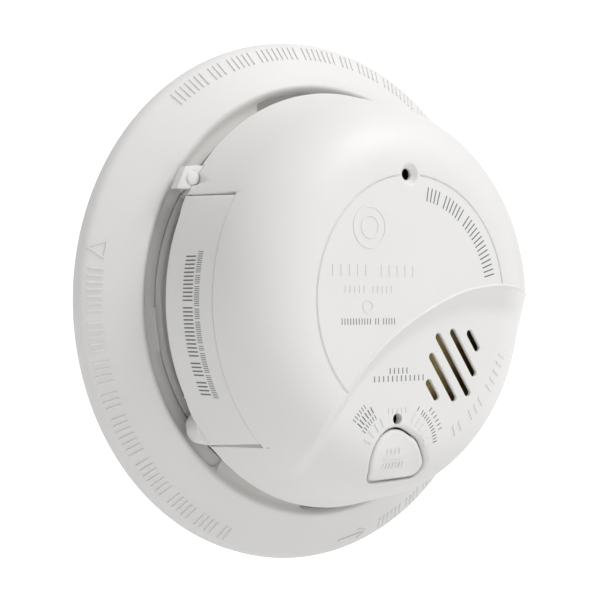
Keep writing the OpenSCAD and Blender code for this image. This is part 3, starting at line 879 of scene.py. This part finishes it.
# Points (radius, z) of the ring's inner bank, of its crest, and of the cone outside it
BANK = [
    (52.7, 9.02), (54.6, 9.15), (55.3, 9.34), (55.8, 9.66), (56.3, 10.1), (56.8, 10.55),
    (57.3, 10.95),
]
CREST = [(57.75, 11.16), (58.15, 11.2), (58.5, 11.08), (58.9, 10.88)]
CONE = [CREST[-1], (69.0, 4.72), (69.6, 4.32), (70.1, 3.92)]
PLATE_T, WIRE_R = 2.0, 31.0
BOX_SCREW_X, BOX_SLOT_R, BOX_SLOT_HALF = 44.45, 2.3, 2.7
ANCHOR_Y, ANCHOR_R = 37.0, 2.4
SPARE_PIN_R, SPARE_PIN_ANGLE = 36.6, 30.0
POCKET_R, POCKET_CORNER, POCKET_Z = 56.5, 3.0, 8.3
VENTS = [(61.0, 113.5), (261.5, 314.0), (335.0, 385.0)]
VENT_R, VENT_Z = 56.3, 6.2


def ring_profile(kind, wall=POCKET_R):
    """Half section of the bracket, from the plate's front round the ring to the plate's back.

    wall is the radius of the recess's outer wall there."""
    if kind == "bank":
        inner = [
            (52.3, 2.3), (52.3, 5.0), (52.3, 8.6), (52.4, 8.9), BANK[0], (53.6, 9.07), *BANK[1:],
        ]
    elif kind == "pocket":
        inner = [
            (52.3, 2.3), (52.3, 5.0), (52.3, 7.6), (52.42, 8.0), (52.8, POCKET_Z - 0.06),
            (wall - 1.2, POCKET_Z), (wall - 0.35, POCKET_Z + 0.02), (wall - 0.08, 8.42),
            (wall, 8.7), (wall, bank_z(wall) - 0.12), (wall + 0.1, bank_z(wall + 0.1)), BANK[-1],
        ]
    else:
        inner = [
            (52.3, 2.3), (52.3, 4.2), (52.3, VENT_Z - 0.2), (52.45, VENT_Z), (54.2, VENT_Z),
            (VENT_R - 0.6, VENT_Z), (VENT_R - 0.1, VENT_Z + 0.1), (VENT_R, VENT_Z + 0.6),
            (VENT_R, 8.6), (VENT_R, 9.9), (VENT_R + 0.1, bank_z(VENT_R + 0.1)), BANK[-1],
        ]
    cone = [(58.9 + 10.1 * t, 10.88 - 6.16 * t) for t in (0.2, 0.4, 0.6, 0.8, 1.0)]
    lip = [(70.5, 3.45), (70.8, 2.85), (70.95, 2.3), (71.0, 1.7), (71.0, 0.25), (70.75, 0.0)]
    foot = 58.5 if kind == "vent" else 54.1
    under = [
        (69.4, 0.0), (69.2, 0.25), (69.2, 2.8), (58.7, 8.6),
        (foot + 0.2, 8.4 if kind == "vent" else 6.7), (foot, 6.4), (foot, 0.2), (foot - 0.2, 0.0),
    ]
    return inner + CREST + cone + CONE[2:] + lip + under


def bank_z(r):
    """Height of the ring's inner bank."""
    return float(np.interp(r, *zip(*BANK)))


def pocket_wall(deg):
    """Radius of the recess's outer wall, which is rounded off at both ends."""
    s = min(deg - POCKET[0], POCKET[1] - deg) * math.radians(1) * (POCKET_R - POCKET_CORNER)
    if s >= POCKET_CORNER:
        return POCKET_R
    beyond = POCKET_CORNER - max(s, 0.0)
    return POCKET_R - POCKET_CORNER + math.sqrt(max(0.0, POCKET_CORNER**2 - beyond**2))


def ring_angles():
    """Angles of the lathe's sections, with narrow steps at the ends of the pocket and vents."""
    soft = 0.25
    marks = [(*POCKET, "pocket")] + [(*v, "vent") for v in VENTS]
    angles = [float(i) for i in range(360)]
    for k in range(1, 16):
        angles += [POCKET[0] + 0.22 * k, POCKET[1] - 0.22 * k]
    for a0, a1, _ in marks:
        for a in (a0 - soft, a0 + soft, a1 - soft, a1 + soft):
            angles.append(a % 360.0)

    def kind_at(a):
        for a0, a1, kind in marks:
            if a0 <= a <= a1 or a0 <= a + 360 <= a1:
                return kind
        return "bank"

    angles = sorted(set(round(a, 4) for a in angles))
    clean = [angles[0]]
    for a in angles[1:]:
        if a - clean[-1] > 0.12:
            clean.append(a)
    return [(a, kind_at(a)) for a in clean]


def build_bracket():
    b = Builder()
    sections = {k: ring_profile(k) for k in ("bank", "pocket", "vent")}
    rows = []
    for deg, kind in ring_angles():
        section = ring_profile(kind, pocket_wall(deg)) if kind == "pocket" else sections[kind]
        rows.append([(*polar(r, deg), z) for r, z in section])
    ids = b.grid(rows, closed_u=True, flip=True)

    # Plate, with its wiring opening, box-screw slots and anchor holes
    def slot_hole(cx):
        pts = []
        for side, start in ((1, -90), (-1, 90)):
            for deg in np.linspace(start, start + 180, 9):
                pts.append(around((cx + side * BOX_SLOT_HALF, 0), BOX_SLOT_R, deg))
        return pts

    holes = [circle((0, 0), WIRE_R, 96), slot_hole(BOX_SCREW_X), slot_hole(-BOX_SCREW_X)]
    holes += [circle((0, y), ANCHOR_R, 24) for y in (ANCHOR_Y, -ANCHOR_Y)]
    loose = hex_points(7.0, 52.0, lambda x, y: math.hypot(x, y) > WIRE_R + 2)
    sheets = []
    for z, end, up in ((PLATE_T, 0, True), (0.0, -1, False)):
        rim_ids = [row[end] for row in ids]
        rim = [b.verts[i][:2] for i in rim_ids]
        v2, f2, loops = triangulate([rim], holes, [], loose)

        @cache
        def vertex(i):
            return b.add((v2[i].x, v2[i].y, z))

        for f in sheet_faces(v2, f2, rim, holes):
            face = [vertex(i) for i in f]
            b.faces.append(tuple(face) if up else tuple(reversed(face)))
        for k in range(len(rim_ids)):
            j = (k + 1) % len(rim_ids)
            quad = (rim_ids[k], vertex(loops[0][k]), vertex(loops[0][j]), rim_ids[j])
            b.faces.append(tuple(reversed(quad)) if up else quad)
        sheets.append([[b.verts[vertex(i)] for i in loop] for loop in loops[1:]])
    for top, low in zip(*sheets):
        b.grid([top, low], closed_v=True, flip=True)
    # Raised mark on the recess's floor
    mark = rounded([(52.4, 8.0), (53.4, 8.0), (53.4, 8.53), (52.4, 8.53)], 0.15)
    b.lathe_arc(mark, 182, 194)
    # Twist-on hooks
    for deg in (90, 210, 330):
        hook = [(42.3, 1.6), (43.7, 1.6), (43.7, 7.3), (45.6, 7.3), (45.6, 8.9), (42.3, 8.9)]
        b.lathe_arc(rounded(hook, 0.3), deg - 4, deg + 4, 1.0)
    # Clips of the spare lock pin
    for s in (-3, 2):
        for side in (-1, 1):
            x = SPARE_PIN_R + side * 1.6
            b.box((x - 0.55, s - 1, 1.5), (x + 0.55, s + 1, 4.1), 0.2, SPARE_PIN_ANGLE)
    make_piece("bracket_ring", b, "bracket", "bracket_plastic", ["mounting_bracket"])


# ---- battery drawer ----


def wall_r(z):
    """Radius of the dome's wall at height z."""
    end_r = SHOULDER_X + SHOULDER_R * math.cos(SHOULDER_END)
    end_z = FACE_Z - SHOULDER_R + SHOULDER_R * math.sin(SHOULDER_END)
    return end_r + (RIM_R - end_r) * (end_z - z) / (end_z - RIM_Z)


def wall_point(y, z, inset):
    r = wall_r(z) - inset
    return -math.sqrt(r * r - y * y), y, z


def build_drawer():
    b = Builder()
    y0, y1, z0, z1, t = DRAWER_LOW, DRAWER_TOP, RIM_Z, SEAM_Z - 0.2, 1.8
    edge = 0.35

    def places(a, b, n):
        """Places from a to b, closer together near both ends."""
        near = [0.0, 0.06, 0.14, 0.23, edge]
        between = np.linspace(a + 1.2, b - 1.2, n)
        return [a + d for d in near] + list(between) + [b - d for d in reversed(near)]

    ys, zs = places(y0, y1, 56), places(z0, z1, 12)

    def drop(y, z):
        side = min(y - y0, y1 - y, z - z0)
        return max(fillet_drop(side, edge), fillet_drop(z1 - z, 0.2))

    def lean(y, z):
        """The skin narrows a little towards the seam."""
        rise = (z - z0) / (SEAM_Z - z0)
        share = (y - y0) / (y1 - y0)
        return y + DRAWER_LOW_LEAN * rise * (1 - share) - DRAWER_TOP_LEAN * rise * share

    def foot(y, z):
        """The lower edge is raised a little between the two corners."""
        share = clamp(0.5 + min(22.0 - y, y + 26.0) / 5.0)
        share = share * share * (3.0 - 2.0 * share)
        return z + 0.6 * share * max(0.0, 1.0 - (z - z0) / 3.0)

    outer = [[wall_point(lean(y, z), foot(y, z), drop(y, z)) for z in zs] for y in ys]
    inner = [[wall_point(lean(y, z), foot(y, z), t) for z in zs] for y in ys]
    o = b.grid(outer)
    i = b.grid(inner, flip=True)
    ny, nz = len(ys), len(zs)
    ring = [(k, 0) for k in range(ny)] + [(ny - 1, k) for k in range(1, nz)]
    ring += [(k, nz - 1) for k in range(ny - 2, -1, -1)] + [(0, k) for k in range(nz - 2, 0, -1)]
    for k, (a, c) in enumerate(ring):
        a2, c2 = ring[(k + 1) % len(ring)]
        b.faces.append((o[a][c], i[a][c], i[a2][c2], o[a2][c2]))
    # Lip between the skin and the tray
    lip = rounded([(42.2, 17.0), (53.6, 17.0), (53.3, 18.5), (42.2, 18.5)], 0.2)
    b.lathe_arc(lip, left_angle(54.3, 24.7), left_angle(54.3, -35.4), 1.5)
    # Tray walls
    x0, x1, ty0, ty1, tz0, tz1 = -47.0, -26.4, -24.6, 15.8, 11.9, 31.4
    for lo, hi in (
        ((x0 + 0.6, ty0, tz0), (x1, ty1, tz0 + 1.8)),
        ((x1 - 1.3, ty0, tz0), (x1, ty1, tz1)),
        ((x0, ty0 + 3.0, tz0 + 1), (x0 + 1.6, ty1, tz1 - 3.5)),
        ((x0 + 1.5, ty0, tz0), (x1, ty0 + 2.1, tz1 - 2.5)),
        ((x0 + 0.4, ty1 - 1.9, tz0), (x1, ty1, tz1 - 1.0)),
    ):
        b.box(lo, hi, 0.3)
    # Knuckle, arm and latch tongue
    knuckle = rounded([(1.3, 11.9), (4.4, 11.9), (4.4, 17.2), (1.3, 17.2)], 0.4, 3)
    b.lathe_arc(knuckle, 0, 360, 9, (-41.4, -31.8), closed=True)
    b.box((-42.2, -31.0, 11.9), (-37.4, -23.4, 17.0), 0.4)
    b.box((-43.0, 14.8, 12.5), (-36.0, 24.0, 14.3), 0.3)
    make_piece("drawer_shell", b, "drawer", "drawer_plastic", ["battery_drawer"], sharp=42)


# ---- test button ----


def button_level(x, y):
    """Height of the button's face, which lies a little deeper at its upper end."""
    return floor_height(math.hypot(x, y)) - 0.35 - 0.45 * clamp((y + 46.0) / 13.0)


def build_button():
    b = Builder()
    outline = button_outline(0.0)
    centre = Vector((-2.0, -40.8))

    def loop(k, z_of):
        pts = []
        for p in outline:
            q = centre + (Vector(p) - centre) * k
            pts.append((q.x, q.y, z_of(q.x, q.y)))
        return pts

    rows = [loop(0.97, lambda x, y: 35.4), loop(1.0, lambda x, y: 35.6)]
    for k, off in (
        (1.0, -0.95), (0.997, -0.62), (0.985, -0.33), (0.965, -0.14), (0.94, -0.03), (0.91, 0.0),
        (0.87, 0.0), (0.84, -0.03), (0.80, -0.10), (0.72, -0.2), (0.6, -0.3), (0.45, -0.37),
        (0.3, -0.41), (0.15, -0.43), (0.05, -0.435),
    ):
        rows.append(loop(k, lambda x, y, off=off: button_level(x, y) + off))
    ids = b.grid(rows, closed_v=True)
    b.cap(ids[0], flip=True)
    b.cap(ids[-1])
    stem = rounded([(0.0, 16.6), (2.2, 16.6), (2.2, 35.6), (0.0, 35.6)], 0.25)
    stem = [p for p in stem if p[0] > 0.05] + [(0.05, 35.5), (0.05, 16.7)]
    b.lathe_arc(stem, 0, 360, 12, STEM_C, closed=True)
    # Retaining flange
    corners = ((0.9, 35.4), (1.1, 35.4), (1.1, 36.4), (0.9, 36.4))
    flange = [loop(k, lambda x, y, z=z: z) for k, z in corners]
    b.solid(flange, closed=True)
    make_piece("button_cap", b, "button", "button_plastic", ["test_button"])


# ---- pieces that stay as CAD solids, with softened edges ----

SOFTEN = {"rear_housing": 0.25, "lock_pin": 0.2, "mains_inlet": 0.25}


def soften(node, width):
    """A copy of a CAD solid with rounded edges, which stands for it."""
    mesh = NODES[node].data.copy()
    obj = put_in_scene(node + "_body", mesh)
    bm = bmesh.new()
    bm.from_mesh(mesh)
    bmesh.ops.remove_doubles(bm, verts=bm.verts, dist=1e-6)
    bmesh.ops.dissolve_limit(bm, angle_limit=math.radians(1.0), verts=bm.verts, edges=bm.edges)
    bm.to_mesh(mesh)
    bm.free()
    mod = obj.modifiers.new("bevel", "BEVEL")
    mod.width = width * MM
    mod.segments = 2
    mod.limit_method = "ANGLE"
    mod.angle_limit = math.radians(50)
    graph = bpy.context.evaluated_depsgraph_get()
    mesh2 = bpy.data.meshes.new_from_object(obj.evaluated_get(graph))
    obj.modifiers.clear()
    obj.data = mesh2
    mesh2.shade_smooth()
    mesh2.set_sharp_from_angle(angle=math.radians(35))
    slot = SLOT_OF[node]
    mesh2.materials.clear()
    mesh2.materials.append(MATS[slot])
    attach(obj, NODES[node]["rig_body"])
    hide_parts(node)


def repaint(node):
    obj = NODES[node]
    mat = MATS[SLOT_OF[node]]
    if not obj.material_slots:
        obj.data.materials.append(mat)
    for s in obj.material_slots:
        s.material = mat


# ---- raised and printed marks ----


BAR_SINK = 0.1


def bar(b, along, across, height_of, lift):
    """A flat bar on a surface: along is its centre line as (x, y) points, across its width."""
    half = across / 2
    top = half - min(across * 0.2, lift * 0.6)
    rows = []
    for i, p in enumerate(along):
        d = Vector(along[min(i + 1, len(along) - 1)]) - Vector(along[max(i - 1, 0)])
        side = Vector((-d.y, d.x)).normalized()
        row = []
        for off, up in ((half, -BAR_SINK), (top, lift), (-top, lift), (-half, -BAR_SINK)):
            x, y = Vector(p) + side * off
            row.append((x, y, height_of(x, y) + up))
        rows.append(row)
    b.solid(rows)


def cone_height(x, y):
    """Front of the trim ring's sloping band."""
    return float(np.interp(math.hypot(x, y), *zip(*CONE)))


def tick_groups(a0, a1, words, pitch, gap):
    """Angles of ticks in groups that fill the span from a0 towards a1."""
    out = []
    a = a0
    sign = 1 if a1 > a0 else -1
    while True:
        for w in words:
            for _ in range(w):
                if sign * (a1 - a) < 0:
                    return out
                out.append(a)
                a += sign * pitch
            a += sign * gap


def build_ring_marks():
    b = Builder()
    spans = [(131.0, 46.0, [7, 3, 5, 8]), (173.5, 246.0, [7, 5, 4, 3, 7]), (290.0, 322.0, [6, 4])]
    for a0, a1, words in spans:
        for a in tick_groups(a0, a1, words, 1.45, 1.1):
            r0, r1 = 66.2, 69.5
            pts = [polar(r0 + (r1 - r0) * k / 3, a) for k in range(4)]
            bar(b, pts, 0.62, cone_height, 0.36)
    # Turning arrow at the bottom
    shaft = [polar(67.6, a) for a in np.arange(277.0, 284.1, 0.7)]
    bar(b, shaft, 0.8, cone_height, 0.3)
    tip = polar(67.6, 285.4)
    for s in (-1, 1):
        wing = [tip, polar(67.6 + s * 1.5, 282.6)]
        bar(b, wing, 0.7, cone_height, 0.3)
    # Plain triangle outline
    corners = circle(polar(67.7, 169.3), 2.5, 3, 169.3)
    for k in range(3):
        bar(b, [corners[k - 1], corners[k]], 0.5, cone_height, 0.34)
    make_piece("ring_marks", b, "bracket", "bracket_plastic")


def tick_places(words):
    """Places of ticks a unit apart, grouped like words, and the length that they fill."""
    marks, total = [], 0.0
    for w in words:
        for _ in range(w):
            marks.append(total)
            total += 1.0
        total += 0.9
    return marks, total - 1.9


def straight_ticks(b, centre, direction, length, height, words, width, lift, surface):
    """A row of upright ticks, grouped like words, along a straight line."""
    d = Vector(direction).normalized()
    up = Vector((-d.y, d.x)) * height
    marks, total = tick_places(words)
    for m in marks:
        p = Vector(centre) + d * (m * (length / total) - length / 2)
        bar(b, [p - up / 2, p, p + up / 2], width, surface, lift)


def arc_ticks(b, centre, r, a0, a1, height, words, width, lift, surface):
    """Ticks that point to a centre, grouped like words, from angle a0 to a1."""
    marks, total = tick_places(words)
    for m in marks:
        a = a0 + (a1 - a0) * m / total
        pts = [around(centre, r - height / 2 + height * k / 2, a) for k in range(3)]
        bar(b, pts, width, surface, lift)


def build_cover_marks():
    b = Builder()
    raised = 0.16
    # Plain raised ring in place of the badge, and lines of raised ticks under it
    for r, w in ((5.0, 0.7), (2.7, 0.5)):
        pts = circle((-14.8, 17.7), r, 48)
        bar(b, pts + pts[:1], w, base_height, raised)
    straight_ticks(b, (-13.4, 7.1), (1, 0), 25.5, 2.7, [5, 5], 0.8, raised, base_height)
    straight_ticks(b, (-15.2, 2.5), (1, 0), 14.6, 1.7, [5, 5], 0.38, raised, base_height)
    pts = circle((-15.5, -1.7), 1.5, 30)
    bar(b, pts + pts[:1], 0.3, base_height, raised)
    # Raised ticks on the lowered area
    arc_ticks(b, (0, 0), 38.2, -62.7, -23, 3.0, [2, 3, 5], 0.7, 0.26, base_height)
    arc_ticks(b, BUTTON_C, 10.1, 152, 116, 2.4, [4], 0.5, 0.22, base_height)
    arc_ticks(b, BUTTON_C, 11.5, 58, 12, 2.4, [6], 0.5, 0.22, base_height)
    straight_ticks(b, (-2.6, -27.7), (1, 0), 5.8, 1.4, [5], 0.36, raised, base_height)
    make_piece("cover_marks", b, "alarm", "housing_plastic")


def build_cover_print():
    b = Builder()
    lift = 0.02

    def ticks(*args):
        straight_ticks(b, *args, lift, base_height)

    ticks((-15.2, -5.3), (1, 0), 16.6, 1.5, [11, 2, 5], 0.26)
    arc_ticks(b, (0, 0), 26.9, 81, 14, 3.6, [4, 6, 14], 0.34, lift, base_height)
    ticks((-2.2, -17.8), (1, 0), 5.6, 1.5, [5], 0.32)
    ticks((-2.0, -19.7), (1, 0), 16.2, 1.5, [12], 0.32)
    for args in (
        (16.6, 143, 127, 1.3, [6], 0.24),
        (14.5, 143, 122, 1.9, [6], 0.34),
        (12.5, 145, 122, 1.3, [7], 0.24),
        (16.6, 44, 23, 1.4, [6], 0.26),
        (14.2, 57, 13, 1.4, [1, 12], 0.26),
    ):
        arc_ticks(b, BUTTON_C, *args, lift, base_height)
    make_piece("cover_print", b, "alarm", "print_ink")


def build_button_marks():
    b = Builder()

    def surface(x, y):
        return button_level(x, y) - 0.36

    straight_ticks(b, (-2.6, -38.1), (1, 0.03), 4.0, 1.5, [4], 0.4, 0.2, surface)
    straight_ticks(b, (-1.9, -41.8), (1, 0.03), 6.4, 1.5, [7], 0.34, 0.2, surface)
    bar(b, [(-5.6, -39.9), (1.0, -39.8)], 0.3, surface, 0.2)
    make_piece("button_marks", b, "button", "button_plastic")


def build_drawer_print():
    """Two lines of print along the drawer's skin, as thin strips on its surface."""
    b = Builder()
    lift = 0.02

    def tick(y, z, height, width):
        dy, dz = width / 2, height / 2
        corners = ((y - dy, z - dz), (y + dy, z - dz), (y + dy, z + dz), (y - dy, z + dz))
        b.solid([[wall_point(*c, inset) for c in corners] for inset in (-lift, 0.05)])

    def row(y_from, y_to, z, words, height, width):
        marks, total = tick_places(words)
        for m in marks:
            tick(y_from + (y_to - y_from) * m / total, z, height, width)

    row(-22.8, 10.3, 24.7, [4, 4, 13, 12], 3.0, 0.34)
    row(-23.5, 11.4, 27.5, [13, 11, 3, 12, 6, 11, 5, 12], 1.5, 0.17)
    make_piece("drawer_print", b, "drawer", "print_ink")


# ---- put the alarm together ----

build_cover()
build_bracket()
build_drawer()
build_button()
build_ring_marks()
build_cover_marks()
build_cover_print()
build_button_marks()
build_drawer_print()
for node_name, bevel_width in SOFTEN.items():
    soften(node_name, bevel_width)
for node_name in NODES:
    repaint(node_name)

# ---- floor, light and camera ----

floor_mat = Mat("studio_floor", Roughness=0.9, Emission_Color=(1.0, 1.0, 1.0, 1.0))
floor_mat.colour(floor_mat.noise(3.0), (0.78, 0.78, 0.78), (0.80, 0.80, 0.80))
# The floor is lit from below away from the object, so that it runs into the backdrop
distance = floor_mat.node("ShaderNodeVectorMath", operation="LENGTH")
floor_mat.link(floor_mat.coord.outputs["Object"], distance.inputs[0])
glow = map_range(floor_mat.nt, distance.outputs["Value"], (0.22, 0.5), (0.0, 0.62), "SMOOTHSTEP")
floor_mat.link(glow, floor_mat.bsdf.inputs["Emission Strength"])
floor_mesh = bpy.data.meshes.new("studio_floor")
half = 6.0
floor_level = -0.16
floor_mesh.from_pydata(
    [(-half, -half, 0), (half, -half, 0), (half, half, 0), (-half, half, 0)], [], [(0, 1, 2, 3)]
)
floor = put_in_scene("studio_floor", floor_mesh)
floor.location.z = floor_level
floor_mesh.materials.append(floor_mat.m)

world_data = bpy.data.worlds.new("studio")
bpy.context.scene.world = world_data
world_data.use_nodes = True
sky = world_data.node_tree
coord = sky.nodes.new("ShaderNodeTexCoord")


def sky_dot(direction):
    n = sky.nodes.new("ShaderNodeVectorMath")
    n.operation = "DOT_PRODUCT"
    n.inputs[1].default_value = direction
    sky.links.new(coord.outputs["Generated"], n.inputs[0])
    return n.outputs["Value"]


def sky_math(operation, a, b):
    n = sky.nodes.new("ShaderNodeMath")
    n.operation = operation
    for socket, value in zip(n.inputs, (a, b)):
        if isinstance(value, float):
            socket.default_value = value
        else:
            sky.links.new(value, socket)
    return n.outputs["Value"]


def sky_squared(direction, weight):
    """Light from both ways along a direction."""
    along = sky_dot(direction)
    return sky_math("MULTIPLY", sky_math("MULTIPLY", along, along), weight)


# Softly lit room, brighter above and below, dimmer at the sides, with a lit backdrop behind
backdrop = map_range(sky, sky_dot((0.6, 0.8, 0.0)), (0.8, 0.95), (0.0, 0.7), "SMOOTHSTEP")
room = sky_math("ADD", sky_dot((0.14, 0.10, 0.32)), 0.42)
room = sky_math("ADD", room, sky_squared((1.0, 0.0, 0.0), -0.45))
room = sky_math("ADD", room, sky_squared((0.0, 0.0, 1.0), 0.5))
room = sky_math("MAXIMUM", room, 0.0)
strength = sky_math("ADD", room, backdrop)
sky.links.new(strength, sky.nodes["Background"].inputs["Strength"])
sky.nodes["Background"].inputs["Color"].default_value = (1.0, 1.0, 1.0, 1.0)
bpy.context.scene.view_settings.view_transform = "Standard"


def aim(obj, at, direction):
    obj.location = at
    obj.rotation_mode = "QUATERNION"
    obj.rotation_quaternion = Vector(direction).to_track_quat("-Z", "Y")


KEY_AT = Vector((0.42, -0.66, 0.90))
key = bpy.data.lights.new("key", "AREA")
key.shape = "DISK"
key.size = 0.5
key.energy = 6.5
aim(put_in_scene("key", key), KEY_AT, Vector((0, -0.02, 0)) - KEY_AT)

camera_data = bpy.data.cameras.new("camera")
camera_data.lens = 75.0
camera_data.sensor_width = 36.0
camera_data.clip_start = 0.01
camera = put_in_scene("camera", camera_data)
aim(camera, (-0.21106, -0.27803, -0.00189), (0.60276, 0.79790, 0.00593))
bpy.context.scene.camera = camera
